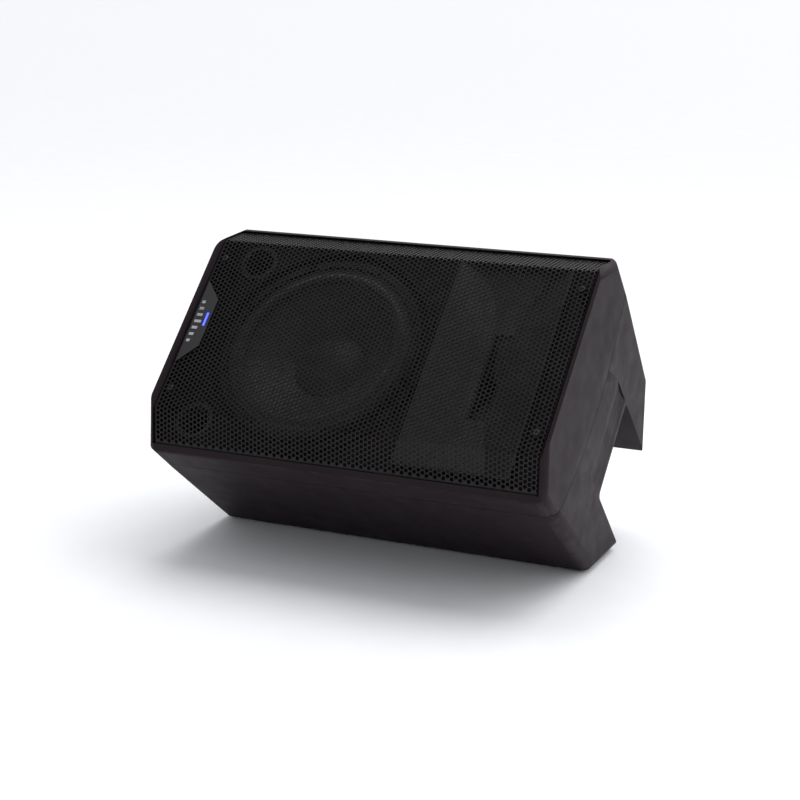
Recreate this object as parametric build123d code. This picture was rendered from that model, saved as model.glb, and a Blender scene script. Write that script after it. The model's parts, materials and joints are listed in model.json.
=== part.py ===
from build123d import *
from math import atan, atan2, cos, hypot, radians, sin, sqrt, tan
import os

# Powered two-way stage monitor wedge.
# Each piece is drawn in the cabinet's own frame and then tilted into the wedge position.
# Cabinet frame: X along the cabinet (towards its handle end), Y up the face, Z out of the face.
# "depth" is always measured back from the flat of the face, so Z = -depth.  All sizes in mm.

# ---- cabinet -------------------------------------------------------------------------------
cabinet_length = 520.0
cabinet_width = 336.0
cabinet_depth = 322.0
monitor_angle = 45.0            # tilt of the cabinet when it lies on a wing
face_width = 252.0              # flat of the face, between its two folds
fold_depth = 37.5               # where the folded flanks meet the sides
parting_depth = 75.5            # joint between front moulding and rear shell
parting_bulge = 32.0            # how far that joint bows back in the middle of each end
parting_gap = 0.9
wing_start_depth = 252.0        # where the sides turn in to the wings
wing_start_width = 285.0
valley_width = 132.0            # between the wings
valley_floor_depth = 200.0
valley_draft = 1.5              # how much each valley wall leans, per side
face_end_draft = 2.0            # the ends lean in towards the face
rear_end_draft = 5.0            # and towards the rear
shell_wall = 4.5
end_bend_depth = 92.0           # where the two leans meet
flank_end_radius = 13.0
side_end_radius = 16.0
wing_end_radius = 12.0
edge_overrun = 14.0
edge_graze = 0.006              # share of a round's radius by which its arc rises past each face
edge_tip_share = 0.05
side_edge_radius = 8.0
flank_edge_radius = 5.0
face_edge_radius = 1.5
wing_tip_radius = 2.4
valley_corner_radius = 8.0
grip_scoop_depth = 4.0          # shallow scoop for the palm, in the handle end
grip_scoop_radius = 120.0
grip_scoop_center_depth = 174.0

# ---- grille and rim ------------------------------------------------------------------------
rim_width = 7.0
rim_lip = 4.0                   # slope from the rim's edge down to the grille
grille_recess = 3.0
grille_thickness = 1.5
grille_edge_gap = 0.6
baffle_depth = 40.0
baffle_thickness = 6.0
grille_screw_inset_x = 13.0      # from the mouth's end
grille_screw_inset_y = 29.0      # from the fold
grille_post_radius = 6.0
grille_screw_radius = 2.0
grille_screw_head_radius = 4.0
grille_screw_head_height = 1.8
screw_clearance = 0.3
badge_inset = 5.0                # from the mouth's end
badge_width = 23.0
badge_inner_length = 68.0
badge_outer_length = 120.0
badge_thickness = 1.8
emblem_bar_count = 7
emblem_bar_width = 4.0
emblem_pitch = 9.5
emblem_height = 0.5
led_length = 19.0
led_width = 2.4
led_offset_x = 5.5              # from the badge's inner edge
case_screw_insets = (75.0, 240.0, 410.0)    # from the base end
case_screw_inset_y = 16.0        # from the cabinet's side
case_screw_radius = 2.5
case_screw_head_radius = 4.5
case_screw_head_height = 3.0
case_boss_radius = 6.5
case_boss_length = 30.0

# ---- woofer --------------------------------------------------------------------------------
woofer_inset = 178.0             # from the base end to its axis
woofer_flange_radius = 130.0
woofer_flange_thickness = 4.0
woofer_frame_radius = 118.0     # basket wall where it passes through the baffle
woofer_trim_inner = 140.0
woofer_trim_outer = 146.0
woofer_trim_height = 6.0
gasket_outer_radius = 127.0
gasket_height = 4.0
surround_inner_radius = 97.3
surround_outer_radius = 118.5
surround_clearance = 2.6        # from the roll to the basket
surround_thickness = 1.0
cone_edge_radius = 97.0
cone_edge_rise = 0.5             # in front of the baffle's face
cone_thickness = 1.4
coil_radius = 32.0              # inside of the former
former_thickness = 0.6
winding_thickness = 0.8
cone_neck_drop = 42.5            # these drops are behind the baffle's face
former_end_drop = 84.0
winding_length = 16.0
dust_cap_radius = 45.0
dust_cap_rise = 13.0
dust_cap_thickness = 0.9
basket_rear_radius = 79.0
basket_wall = 4.0
spider_drop = 57.5              # the ledge that the spider is glued to
spider_outer_radius = 73.0
spider_thickness = 0.8
basket_rear_drop = 72.0
magnet_radius = 72.0
magnet_inner_radius = 38.0
magnet_thickness = 20.0
top_plate_radius = 62.0
top_plate_thickness = 8.0
yoke_radius = 66.0
yoke_thickness = 9.0
pole_radius = 31.0
pole_vent_radius = 10.0
magnet_gap_radius = 34.4
woofer_screw_count = 8
woofer_screw_circle = 122.5
woofer_screw_radius = 2.2
woofer_screw_head = 3.8
woofer_window_count = 6
woofer_window_width = 52.0

# ---- horn and compression driver -----------------------------------------------------------
horn_inset = 122.5               # from the handle end to its axis
horn_mouth_width = 127.0
horn_mouth_height = 284.0
horn_flange_margin = 8.0        # along the cabinet
horn_flange_end_margin = 4.0    # across it
horn_flange_thickness = 4.0
horn_wall = 3.0
horn_throat_radius = 12.7
horn_throat_drop = 64.0
horn_corner_radius = 10.0
horn_screw_y = [-120.0, -40.0, 40.0, 120.0]
horn_screw_radius = 1.8
horn_screw_head = 3.0
driver_radius = 45.0
driver_plate_thickness = 7.0
driver_bolt_circle = 38.0
driver_bolt_radius = 3.0
driver_magnet_thickness = 20.0
driver_magnet_inner = 30.0
diaphragm_radius = 22.0
diaphragm_rise = 6.0
driver_cap_radius = 36.0
driver_cap_height = 16.0

# ---- bass ports ----------------------------------------------------------------------------
port_inset_x = 48.0              # from the base end
port_inset_y = 50.0              # from the cabinet's side
port_radius = 20.0
port_wall = 2.4
port_flange_radius = 25.0
port_length = 80.0

# ---- amplifier panel -----------------------------------------------------------------------
panel_inset_low = 92.0           # from the base end
panel_inset_high = 34.0          # from the handle
panel_width = 114.0
panel_thickness = 2.0
panel_gasket_thickness = 1.5
panel_opening_margin = 10.0
panel_screw_inset = 5.0
panel_screw_radius = 2.0
panel_screw_head = 3.8
panel_screw_rows = 5
board_gap = 28.0                # from panel to board
board_thickness = 1.6
board_margin = 16.0
standoff_radius = 3.0
standoff_inset_x = (70.0, 192.0)    # from the panel's low end
standoff_inset = 5.0
knob_inset = 30.0                # from the panel's high end
knob_pitch = 34.0
knob_radius = 8.5
knob_height = 13.5
knob_gap = 0.5
knob_flutes = 12
spindle_radius = 3.0
spindle_clearance = 0.06
pot_size = 17.0
pot_depth = 11.0
socket_inset = 70.0              # from the panel's high end
socket_y = 29.0
link_inset = 108.0
socket_flange = (31.0, 26.0)    # along X, along Y
socket_flange_thickness = 4.0
socket_body_radius = 11.8
socket_bore_radius = 9.6
socket_bore_depth = 12.0
socket_body_depth = 22.0
contact_circle = 6.0
contact_radius = 1.2
latch_size = (4.2, 7.0)
latch_height = 3.6
latch_travel = 1.6
latch_gap = 0.35
button_y = [16.0, 40.0]
button_radius = 4.0
button_gap = 0.35
button_travel = 3.0
button_height = 5.0
switch_size = 12.0
switch_depth = 16.0
led_inset = 89.0
led_count = 4
led_pitch = 8.0
led_radius = 1.6
sink_insets = (68.0, 136.0)      # from the panel's low and high ends
sink_width = 96.0
sink_base = 4.0
sink_fin_height = 18.0
sink_fin_thickness = 1.8
sink_fin_count = 13
inlet_inset = 38.0               # from the panel's low end
inlet_y = -26.0
inlet_size = (44.0, 32.0)
inlet_flange_thickness = 2.5
inlet_mouth = (17.0, 24.0)
inlet_mouth_offset = 9.0
inlet_mouth_depth = 16.0
inlet_body_depth = 24.0
inlet_pin = (4.0, 2.0)
fuse_size = (9.0, 22.0)
fuse_depth = 20.0
fuse_offset = -12.5
fuse_gap = 0.35
rocker_y = 20.0
rocker_frame_size = (32.0, 26.0)
rocker_size = (20.0, 16.0)
rocker_gap = 0.5
rocker_pivot_rise = -3.5        # pivot line, out from the panel's outer face
rocker_tilt = 9.0
rocker_body_depth = 18.0

# ---- handle, pole socket, feet, inserts ----------------------------------------------------
handle_inset = 20.0              # from the handle end
handle_length = 48.0
handle_width = 104.0
handle_depth = 45.0
handle_wall = 2.5
handle_flange = 3.0
handle_flange_thickness = 2.0
handle_fit = 0.2
pole_radius_bore = 17.75
pole_socket_wall = 3.25
pole_socket_length = 80.0
pole_axis_depth = 146.0
pole_flange_radius = 32.0
pole_flange_thickness = 2.5
end_seat_inset = 3.5            # flats sunk in the base end for the socket and the feet
seat_gap = 0.5
foot_radius = 12.0
foot_height = 6.0
foot_insets = ((53.0, 52.0), (54.5, 284.0))    # (from the side as wide there, depth)
pad_size = (36.0, 78.0)         # along the cabinet, across the wing
pad_thickness = 2.5
pad_edge_inset = 7.0
pad_inset = 65.0                 # from each end to a pad's middle
insert_inset = 52.0              # from the base end
insert_edge = 34.0               # from the valley's wall
insert_radius = 6.0
insert_thread_radius = 3.4
insert_length = 15.0
insert_boss_wall = 3.0
lead_radius = 1.6
lead_start_y = 40.0
lead_end_y = 58.0

# ---- worked out from the above -------------------------------------------------------------
half_length = cabinet_length / 2
wing_tip_half = wing_start_width / 2 - (cabinet_depth - wing_start_depth) / tan(radians(monitor_angle))
valley_half = valley_width / 2
rim_inner_x = half_length - face_end_draft - rim_width
rim_inner_y = cabinet_width / 2 - rim_width - 0.5
baffle_back = baffle_depth + baffle_thickness
parting_rear_depth = parting_depth + parting_bulge
cone_edge_depth = baffle_depth - cone_edge_rise
cone_neck_depth = baffle_depth + cone_neck_drop
former_end_depth = baffle_depth + former_end_drop
spider_depth = baffle_depth + spider_drop
basket_rear_depth = baffle_depth + basket_rear_drop
horn_throat_depth = baffle_depth + horn_throat_drop
panel_inner = valley_floor_depth + panel_gasket_thickness
panel_outer = panel_inner + panel_thickness
board_back = panel_inner - board_gap
grille_screw_x = rim_inner_x - grille_screw_inset_x
grille_screw_y = face_width / 2 - grille_screw_inset_y
badge_outer_x = rim_inner_x - badge_inset
badge_inner_x = badge_outer_x - badge_width
case_screw_x = [-half_length + inset for inset in case_screw_insets]
case_screw_y = cabinet_width / 2 - case_screw_inset_y
woofer_x = -half_length + woofer_inset
horn_x = half_length - horn_inset
port_x = -half_length + port_inset_x
port_y = cabinet_width / 2 - port_inset_y
handle_x = (half_length - handle_inset - handle_length, half_length - handle_inset)
panel_x_low = -half_length + panel_inset_low
panel_x_high = handle_x[0] - panel_inset_high
standoff_x = [panel_x_low + inset for inset in standoff_inset_x]
knob_x = panel_x_high - knob_inset
knob_y = [-knob_pitch, 0.0, knob_pitch]
socket_x = panel_x_high - socket_inset
link_x = panel_x_high - link_inset
button_x = link_x
led_x = panel_x_high - led_inset
led_y = [(i - (led_count - 1) / 2) * led_pitch for i in range(led_count)]
sink_x = (panel_x_low + sink_insets[0], panel_x_high - sink_insets[1])
inlet_x = panel_x_low + inlet_inset
rocker_x = inlet_x
foot_places = [(cabinet_width / 2 - foot_insets[0][0], foot_insets[0][1]),
               (wing_start_width / 2 - foot_insets[1][0], foot_insets[1][1])]
pad_x = half_length - pad_inset
insert_x = -half_length + insert_inset
insert_y = valley_half - insert_edge
# each lead: the driver it ends at, its side, its start and end along the cabinet from that
# driver's middle, its three depths in front of the board, and its bend
lead_runs = ((woofer_x, 1, 58.0, 90.0, (14.0, 40.0, 62.0), 9.0),
             (horn_x, -1, 17.5, 25.5, (10.0, 24.0, 44.0), 6.0))
parts = {}


def keep(name, shape):
    parts[name] = shape


def half_mirrored(points):
    """Close a half outline, given as (height, depth, radius), with its mirror image."""
    return points + [(-y, n, r) for y, n, r in reversed(points)]


def outline(points, plane):
    corners = [(a, -n) for a, n, r in points]
    return plane * make_face(FilletPolyline(*corners, radius=[r for a, n, r in points], close=True))


def block(x, y, depth):
    """A box from its low and high X, Y and depth."""
    size = (x[1] - x[0], y[1] - y[0], depth[1] - depth[0])
    middle = ((x[0] + x[1]) / 2, (y[0] + y[1]) / 2, -(depth[0] + depth[1]) / 2)
    return Pos(*middle) * Box(*size)


def centered_block(x, y, size, depth):
    return block((x - size[0] / 2, x + size[0] / 2), (y - size[1] / 2, y + size[1] / 2), depth)


def rod(x, y, radius, depth):
    """A cylinder square to the face, between two depths."""
    return Pos(x, y, -(depth[0] + depth[1]) / 2) * Cylinder(radius, depth[1] - depth[0])


def tube(x, y, outer, inner, depth):
    return rod(x, y, outer, depth) - rod(x, y, inner, (depth[0] - 1, depth[1] + 1))


def turned(x, y, profile):
    """Revolve a closed (radius, depth) outline about an axis square to the face."""
    face = make_face(Polyline(*[(r, -n) for r, n in profile], close=True))
    return Pos(x, y, 0) * revolve(Plane.XZ * face, Axis.Z)


def turned_face(x, y, face):
    return Pos(x, y, 0) * revolve(Plane.XZ * face, Axis.Z)


def joined(solids):
    return Compound(children=[piece for solid in solids for piece in solid.solids()])


def around(x, y, radius, count, start=0.0):
    steps = [radians(start + 360.0 * i / count) for i in range(count)]
    return [(x + radius * cos(a), y + radius * sin(a)) for a in steps]


# ---- cabinet shells ------------------------------------------------------------------------
def cross_points():
    """Half of the cabinet's section across its length, as (height, depth, corner radius)."""
    return [
        (face_width / 2, 0.0, face_edge_radius),
        (cabinet_width / 2, fold_depth, flank_edge_radius),
        (wing_start_width / 2, wing_start_depth, side_edge_radius),
        (wing_tip_half, cabinet_depth, wing_tip_radius),
        (valley_half + valley_draft, cabinet_depth, wing_tip_radius),
        (valley_half, valley_floor_depth, valley_corner_radius),
    ]


def end_x(depth, inset=0.0):
    """How far each end stands from the middle, at a depth."""
    if depth < end_bend_depth:
        return half_length - inset - face_end_draft * (end_bend_depth - depth) / end_bend_depth
    return half_length - inset - rear_end_draft * (depth - end_bend_depth) / (cabinet_depth - end_bend_depth)


def length_outline(inset=0.0):
    """The cabinet's outline seen from the side: both ends lean a little."""
    points = [(end_x(n, inset), n) for n in (-2.0, end_bend_depth, cabinet_depth + 2)]
    points += [(-x, n) for x, n in reversed(points)]
    return Plane.XZ * Polygon(*[(x, -n) for x, n in points], align=None)


def cabinet_solid(inset=0.0):
    """The whole outer form, or the same form moved in by a wall."""
    face = outline(half_mirrored(cross_points()), Plane.YZ)
    if inset:
        face = offset(face, -inset)
    body = extrude(face, cabinet_length, both=True) & extrude(length_outline(inset), cabinet_width,
                                                              both=True)
    corners = [(y, n) for y, n, r in cross_points()[:4]]
    runs = [(corners[0], corners[1], flank_end_radius)]
    share = (end_bend_depth - fold_depth) / (wing_start_depth - fold_depth)
    bend = (corners[1][0] + (corners[2][0] - corners[1][0]) * share, end_bend_depth)
    runs += [(corners[1], bend, side_end_radius), (bend, corners[2], side_end_radius)]
    runs += [(corners[2], corners[3], wing_end_radius)]
    for start, stop, radius in runs:
        for end in (-1, 1):
            for side in (-1, 1):
                body -= edge_cutter(start, stop, radius - inset, inset, end, side)
    return body


def edge_cutter(start, stop, radius, inset, end, side):
    """What a round of a given radius takes off the edge where an end meets a long face."""
    run = (stop[0] - start[0], stop[1] - start[1])
    size = sqrt(run[0] ** 2 + run[1] ** 2)
    outward = (run[1] / size, -run[0] / size)

    def corner(y, n):
        y, n = y - outward[0] * inset, n - outward[1] * inset
        return Vector(end * end_x(n, inset), side * y, -n)

    first, last = corner(*start), corner(*stop)
    along = (last - first).normalized()
    inward = Vector(0, -side * outward[0], outward[1])
    back = Vector(-end, 0, 0)
    back = (back - along * back.dot(along)).normalized()
    lean = (end_x(start[1]) - end_x(stop[1])) / (stop[1] - start[1])
    down = along.cross(Vector(end, 0, -lean)).normalized()
    down = down if down.dot(inward) > 0 else down * -1
    angle = atan2(down.dot(along.cross(back)), down.dot(back))
    half = abs(angle) / 2
    stand = radius * (1 - edge_graze)
    rise = atan(radius * edge_graze / (stand / tan(half))) * (1 if angle > 0 else -1)

    def ray(distance, turn):
        return (distance * cos(turn), distance * sin(turn))

    foot = hypot(stand / tan(half), radius * edge_graze)
    near, far = ray(foot, -rise), ray(foot, angle + rise)
    middle = ray(stand / sin(half) - radius, angle / 2)
    tip = ray(-edge_tip_share * radius, angle / 2)
    face = make_face([ThreePointArc(near, middle, far), Line(far, tip), Line(tip, near)])
    plane = Plane(origin=first - along * edge_overrun, x_dir=back, z_dir=along)
    return extrude(plane * face, (last - first).length + 2 * edge_overrun)


def front_region(gap=0.0):
    """All that belongs to the front moulding: a slab, and a bowed tongue down each end."""
    slab = block((-cabinet_length, cabinet_length), (-cabinet_width, cabinet_width),
                 (-10, parting_depth + gap))
    half_chord = cabinet_width / 2
    bow = ThreePointArc((half_chord, -parting_depth - gap), (0, -parting_rear_depth - gap),
                        (-half_chord, -parting_depth - gap))
    chord = Line((-half_chord, -parting_depth - gap), (half_chord, -parting_depth - gap))
    lens = extrude(Plane.YZ * make_face([bow, chord]), cabinet_length, both=True)
    inner = half_length - shell_wall - gap
    lens -= block((-inner, inner), (-cabinet_width, cabinet_width), (0, cabinet_depth))
    return slab + lens


def cavity(front):
    """The hollow of the cabinet, from a given depth back."""
    return cabinet_solid(shell_wall) & block((-cabinet_length, cabinet_length),
                                             (-cabinet_width, cabinet_width),
                          (front, cabinet_depth))


def case_screw_places():
    return [(x, side * case_screw_y) for x in case_screw_x for side in (-1, 1)]


def front_moulding(cabinet):
    body = (cabinet & front_region()) - cavity(baffle_back)
    opening = [(rim_inner_x, baffle_depth), (rim_inner_x, grille_recess + 2), (rim_inner_x + rim_lip, -2)]
    opening += [(-x, n) for x, n in reversed(opening)]
    mouth = extrude(Plane.XZ * Polygon(*[(x, -n) for x, n in opening], align=None), rim_inner_y, both=True)
    body -= mouth
    for x in (-grille_screw_x, grille_screw_x):
        for y in (-grille_screw_y, grille_screw_y):
            top = grille_recess + grille_thickness
            body += rod(x, y, grille_post_radius, (top, baffle_depth + 1))
            body -= rod(x, y, grille_screw_radius + screw_clearance / 6, (0, baffle_depth - 10))
    body += tube(woofer_x, 0, woofer_trim_outer, woofer_trim_inner,
                 (baffle_depth - woofer_trim_height, baffle_depth + 1))
    body -= rod(woofer_x, 0, woofer_frame_radius + 1, (baffle_depth - 1, baffle_back + 1))
    for x, y in around(woofer_x, 0, woofer_screw_circle, woofer_screw_count, 22.5):
        body += rod(x, y, woofer_screw_head, (baffle_back - 1, baffle_back + 8))
        body -= rod(x, y, woofer_screw_radius + 0.05, (baffle_depth - 1, baffle_back + 6))
    body -= rod(woofer_x, 0, woofer_frame_radius + 1, (baffle_back - 1, baffle_back + 9))
    body -= centered_block(horn_x, 0, (horn_mouth_width + 2 * horn_wall + 1,
                                       horn_mouth_height + 2 * horn_wall + 1),
                           (baffle_depth - 1, baffle_back + 1))
    for x, y in horn_screw_places():
        body -= rod(x, y, horn_screw_radius + 0.05, (baffle_depth - 1, baffle_back - 1))
    for side in (-1, 1):
        body -= rod(port_x, side * port_y, port_radius + port_wall + 0.1,
                    (baffle_depth - 1, baffle_back + 1))
    for x, y in case_screw_places():
        body += rod(x, y, case_boss_radius, (baffle_back - 1, parting_depth)) & cabinet
        body -= rod(x, y, case_screw_radius + screw_clearance, (baffle_depth - 1, parting_depth + 1))
    for y, n in foot_places:
        for side in (-1, 1):
            body -= foot_pocket(side * y, n)
    return body


def rear_shell(cabinet):
    body = cabinet - cavity(parting_depth - 5)
    bosses = Part()
    for x, y in case_screw_places():
        start = parting_depth + parting_gap
        bosses += rod(x, y, case_boss_radius, (start, start + case_boss_length))
    for side in (-1, 1):
        bosses += rod(insert_x, side * insert_y, insert_radius + insert_boss_wall,
                      (valley_floor_depth - insert_length - 3, valley_floor_depth - 1))
    bosses += along_x(0, pole_axis_depth, pole_flange_radius + 3,
                      (-half_length + end_seat_inset, -half_length + end_seat_inset + 5))
    for y, n in foot_places:
        if n > parting_rear_depth:
            for side in (-1, 1):
                bosses += along_x(side * y, n, foot_radius + 3,
                                  (-half_length + end_seat_inset + 1, -half_length + end_seat_inset + 5))
    body += bosses & cabinet
    body -= front_region(parting_gap)
    for x, y in case_screw_places():
        start = parting_depth
        body -= rod(x, y, case_screw_radius + 0.05, (start - 1, start + case_boss_length - 3))
    for side in (-1, 1):
        body -= rod(insert_x, side * insert_y, insert_radius + 0.02,
                    (valley_floor_depth - insert_length, valley_floor_depth + 1))
    margin = panel_opening_margin
    body -= block((panel_x_low + margin, panel_x_high - margin),
                  (-panel_width / 2 + margin, panel_width / 2 - margin),
                  (valley_floor_depth - 20, valley_floor_depth + 1))
    for x, y in panel_screw_places():
        body += rod(x, y, panel_screw_radius + 2.2, (valley_floor_depth - 12, valley_floor_depth - 1))
        body -= rod(x, y, panel_screw_radius + 0.05, (valley_floor_depth - 10, valley_floor_depth + 1))
    body -= block(handle_x, (-handle_width / 2, handle_width / 2),
                  (valley_floor_depth - 20, valley_floor_depth + 1))
    seat = -half_length + end_seat_inset
    body -= along_x(0, pole_axis_depth, pole_flange_radius + seat_gap, (-half_length - 5, seat))
    body -= along_x(0, pole_axis_depth, pole_radius_bore + pole_socket_wall + 0.1, (seat - 1, seat + 12))
    for y, n in foot_places:
        for side in (-1, 1):
            body -= foot_pocket(side * y, n)
    return body - grip_scoop()


def grip_scoop():
    center_x = half_length + grip_scoop_radius - grip_scoop_depth
    roll = Pos(center_x, 0, -grip_scoop_center_depth) * Rot(90, 0, 0) * Cylinder(grip_scoop_radius,
                                                                                 valley_width)
    return roll


def along_x(y, depth, radius, x):
    """A cylinder along the cabinet, between two X places."""
    return Pos((x[0] + x[1]) / 2, y, -depth) * Rot(0, 90, 0) * Cylinder(radius, x[1] - x[0])


def foot_pocket(y, depth):
    return along_x(y, depth, foot_radius + seat_gap, (-half_length - 5, -half_length + end_seat_inset))


# ---- grille, badge, case screws ------------------------------------------------------------
def grille():
    def sheet(inset):
        half = [
            (face_width / 2, 0, 0),
            (cabinet_width / 2, fold_depth, 0),
            (cabinet_width / 2, baffle_depth + 20, 0),
        ]
        return offset(outline(half_mirrored(half), Plane.YZ), -inset, kind=Kind.INTERSECTION)
    skin = sheet(grille_recess) - sheet(grille_recess + grille_thickness)
    body = extrude(skin, rim_inner_x - grille_edge_gap, both=True)
    edge = rim_inner_y - grille_edge_gap
    body &= block((-half_length, half_length), (-edge, edge), (0, baffle_depth - 2))
    for x in (-grille_screw_x, grille_screw_x):
        for y in (-grille_screw_y, grille_screw_y):
            body -= rod(x, y, grille_screw_radius + screw_clearance, (0, 10))
    return body


def screw(x, y, radius, head_radius, head_height, seat, length):
    """Pan-head screw: the head stands on the seat depth, the shank runs back from it."""
    head = rod(x, y, head_radius, (seat - head_height, seat))
    head = fillet(head.edges().group_by(Axis.Z)[-1], head_height * 0.45)
    slot = centered_block(x, y, (head_radius * 1.1, head_radius * 0.28),
                          (seat - head_height - 1, seat - head_height * 0.5))
    cross = centered_block(x, y, (head_radius * 0.28, head_radius * 1.1),
                           (seat - head_height - 1, seat - head_height * 0.5))
    return head + rod(x, y, radius, (seat - 0.1, seat + length)) - slot - cross


def front_screws():
    grille_set = []
    for x in (-grille_screw_x, grille_screw_x):
        for y in (-grille_screw_y, grille_screw_y):
            grille_set.append(screw(x, y, grille_screw_radius, grille_screw_head_radius,
                                    grille_screw_head_height, grille_recess, 22))
    keep("grille_screws", joined(grille_set))
    keep("case_screws", joined([
        screw(x, y, case_screw_radius, case_screw_head_radius, case_screw_head_height, baffle_depth,
              parting_depth - baffle_depth + case_boss_length - 6) for x, y in case_screw_places()]))


def badge():
    front = grille_recess - badge_thickness
    points = [(-badge_inner_x, badge_inner_length / 2), (-badge_outer_x, badge_outer_length / 2),
              (-badge_outer_x, -badge_outer_length / 2), (-badge_inner_x, -badge_inner_length / 2)]
    plate = Pos(0, 0, -grille_recess) * extrude(Polygon(*points, align=None), badge_thickness)
    led = centered_block(-badge_inner_x - led_offset_x, 4, (led_width, led_length),
                         (front - 0.4, front + 0.8))
    keep("badge_plate", plate - centered_block(-badge_inner_x - led_offset_x, 4, (led_width, led_length),
                                               (front - 1, front + 0.8)))
    keep("power_led_lens", led)
    bars = []
    for i in range(emblem_bar_count):
        y = (i - (emblem_bar_count - 1) / 2) * emblem_pitch
        rise = 9.5 - 1.6 * abs(i - (emblem_bar_count - 1) / 2)
        bars.append(block((-badge_outer_x + 3, -badge_outer_x + 3 + rise),
                          (y - emblem_bar_width / 2, y + emblem_bar_width / 2), (front - emblem_height,
                                                                                 front)))
    keep("badge_emblem", joined(bars))


# ---- woofer --------------------------------------------------------------------------------
def woofer():
    front = baffle_depth - woofer_flange_thickness
    wall = basket_wall
    basket = turned(woofer_x, 0, [
        (woofer_frame_radius - wall, front), (woofer_flange_radius, front), (woofer_flange_radius,
                                                                             baffle_depth),
        (woofer_frame_radius, baffle_depth), (basket_rear_radius, spider_depth + 3),
        (basket_rear_radius, basket_rear_depth), (magnet_inner_radius + 2, basket_rear_depth),
        (magnet_inner_radius + 2, basket_rear_depth - wall), (basket_rear_radius - wall,
                                                              basket_rear_depth - wall),
        (basket_rear_radius - wall, spider_depth + wall), (spider_outer_radius - 7, spider_depth + wall),
        (spider_outer_radius - 7, spider_depth), (basket_rear_radius - wall + 0.5, spider_depth),
    ])
    for i in range(woofer_window_count):
        cut = block((basket_rear_radius - 14, woofer_flange_radius + 5),
                    (-woofer_window_width / 2, woofer_window_width / 2), (baffle_back + 3,
                                                                          spider_depth - 6))
        basket -= Pos(woofer_x, 0, 0) * Rot(0, 0, i * 360 / woofer_window_count) * cut
    places = around(woofer_x, 0, woofer_screw_circle, woofer_screw_count, 22.5)
    gasket = tube(woofer_x, 0, gasket_outer_radius, surround_outer_radius + 0.2,
                  (front - gasket_height, front))
    for x, y in places:
        basket -= rod(x, y, woofer_screw_radius + screw_clearance, (front - 1, baffle_depth + 1))
        gasket -= rod(x, y, woofer_screw_head + 0.4, (front - gasket_height - 1, front + 1))
    keep("woofer_basket", basket)
    keep("woofer_gasket", gasket)
    keep("woofer_screws", joined([screw(x, y, woofer_screw_radius, woofer_screw_head, 2.6, front, 14)
                                  for x, y in places]))
    keep("woofer_surround", surround(front))
    cone_slope = (cone_neck_depth - cone_edge_depth) / (cone_edge_radius - coil_radius - former_thickness)
    neck = coil_radius + former_thickness + 0.05
    keep("woofer_cone", turned(woofer_x, 0, [
        (neck, cone_neck_depth), (cone_edge_radius, cone_edge_depth), (cone_edge_radius,
                                                                       cone_edge_depth + cone_thickness),
        (neck, cone_neck_depth + cone_thickness)]))
    cap_depth = cone_neck_depth - (dust_cap_radius - neck) * cone_slope
    keep("woofer_dust_cap", dome(woofer_x, 0, dust_cap_radius, dust_cap_rise, dust_cap_thickness,
                                 cap_depth - 1.0))
    former = tube(woofer_x, 0, coil_radius + former_thickness, coil_radius,
                  (cone_neck_depth - 1, former_end_depth))
    winding = tube(woofer_x, 0, coil_radius + former_thickness + winding_thickness, coil_radius + 0.1,
                   (former_end_depth - winding_length, former_end_depth))
    keep("voice_coil", former + winding)
    keep("woofer_spider", spider())
    plate_back = basket_rear_depth + top_plate_thickness
    magnet_back = plate_back + magnet_thickness
    keep("woofer_top_plate", tube(woofer_x, 0, top_plate_radius, magnet_gap_radius,
                                  (basket_rear_depth, plate_back)))
    keep("woofer_magnet", tube(woofer_x, 0, magnet_radius, magnet_inner_radius, (plate_back, magnet_back)))
    yoke = rod(woofer_x, 0, yoke_radius, (magnet_back, magnet_back + yoke_thickness))
    yoke += rod(woofer_x, 0, pole_radius, (basket_rear_depth, magnet_back + 1))
    keep("woofer_yoke", yoke - rod(woofer_x, 0, pole_vent_radius, (0, magnet_back + yoke_thickness + 1)))


def surround(front):
    """A half-round roll between the cone's edge and the basket's flange."""
    outer_radius = woofer_frame_radius - basket_wall - surround_clearance
    middle = (surround_inner_radius + outer_radius) / 2
    roll = (outer_radius - surround_inner_radius) / 2
    base = cone_edge_depth - 0.5
    t = surround_thickness
    outer = ThreePointArc((middle - roll, -base), (middle, -(base - roll)), (middle + roll, -base))
    inner = ThreePointArc((middle + roll - t, -base), (middle, -(base - roll + t)),
                          (middle - roll + t, -base))
    sides = [Line(outer @ 1, inner @ 0), Line(inner @ 1, outer @ 0)]
    ring = turned_face(woofer_x, 0, make_face([outer, inner] + sides))
    foot = tube(woofer_x, 0, outer_radius, outer_radius - t, (front - t, base))
    return ring + foot + tube(woofer_x, 0, surround_outer_radius, outer_radius - t, (front - t, front))


def dome(x, y, radius, rise, thickness, depth):
    """A spherical cap that bulges towards the face, with its rim at a depth."""
    sphere_radius = (radius ** 2 + rise ** 2) / (2 * rise)
    shell = Sphere(sphere_radius) - Sphere(sphere_radius - thickness)
    shell = Pos(x, y, -(depth - rise + sphere_radius)) * shell
    return shell & rod(x, y, radius + 1, (depth - rise - 1, depth))


def spider():
    inner = coil_radius + former_thickness + winding_thickness + 0.3
    wave = 1.5
    steps = 12
    reach = spider_outer_radius - 9 - inner
    crest = spider_depth - spider_thickness
    front = [(inner + reach * i / steps, crest - (wave if i % 2 else 0)) for i in range(steps + 1)]
    front.append((spider_outer_radius, crest))
    back = [(r, n + spider_thickness) for r, n in reversed(front)]
    return turned(woofer_x, 0, front + back)


# ---- horn and compression driver -----------------------------------------------------------
def horn_screw_places():
    reach = horn_mouth_width / 2 + horn_flange_margin / 2
    return [(horn_x + side * reach, y) for side in (-1, 1) for y in horn_screw_y]


def horn_section(width, height, radius, depth):
    return Pos(horn_x, 0, -depth) * RectangleRounded(width, height, radius)


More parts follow.
